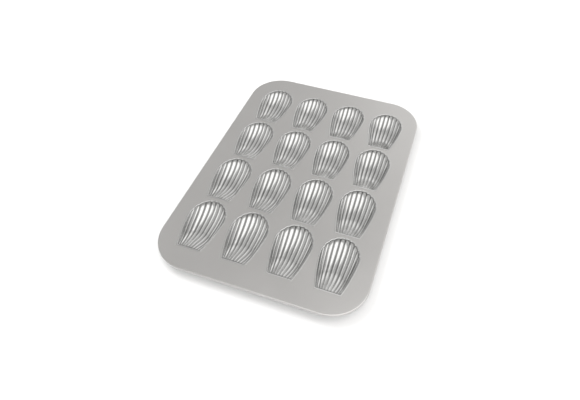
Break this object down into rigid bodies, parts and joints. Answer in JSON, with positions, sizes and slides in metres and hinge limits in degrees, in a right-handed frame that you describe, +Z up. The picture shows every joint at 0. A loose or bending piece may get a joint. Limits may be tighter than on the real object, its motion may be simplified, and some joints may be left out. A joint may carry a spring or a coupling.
{
  "type": "madeleine pan",
  "caption": "Shallow baking pan: fluted shell-shaped moulds locked into a flat frame sheet whose edge is curled round a wire.",
  "frame": {"origin": "centre of the pan's footprint, on the surface that the moulds stand on", "axes": "+X across the pan, +Y along it from the moulds' narrow hinge ends to their wide ends, +Z up"},
  "size_m": [0.28, 0.4, 0.0156],
  "materials": {
    "frame_sheet": "satin coated sheet",
    "mould_sheet": "satin drawn sheet",
    "wire": "drawn wire"
  },
  "bodies": {
    "root": {"frame_sheet": "frame_sheet", "rim_wire": "wire", "shell_row1_col1": "mould_sheet", "shell_row1_col2": "mould_sheet", "shell_row1_col3": "mould_sheet", "shell_row1_col4": "mould_sheet", "shell_row2_col1": "mould_sheet", "shell_row2_col2": "mould_sheet", "shell_row2_col3": "mould_sheet", "shell_row2_col4": "mould_sheet", "shell_row3_col1": "mould_sheet", "shell_row3_col2": "mould_sheet", "shell_row3_col3": "mould_sheet", "shell_row3_col4": "mould_sheet", "shell_row4_col1": "mould_sheet", "shell_row4_col2": "mould_sheet", "shell_row4_col3": "mould_sheet", "shell_row4_col4": "mould_sheet"}
  },
  "joints": []
}
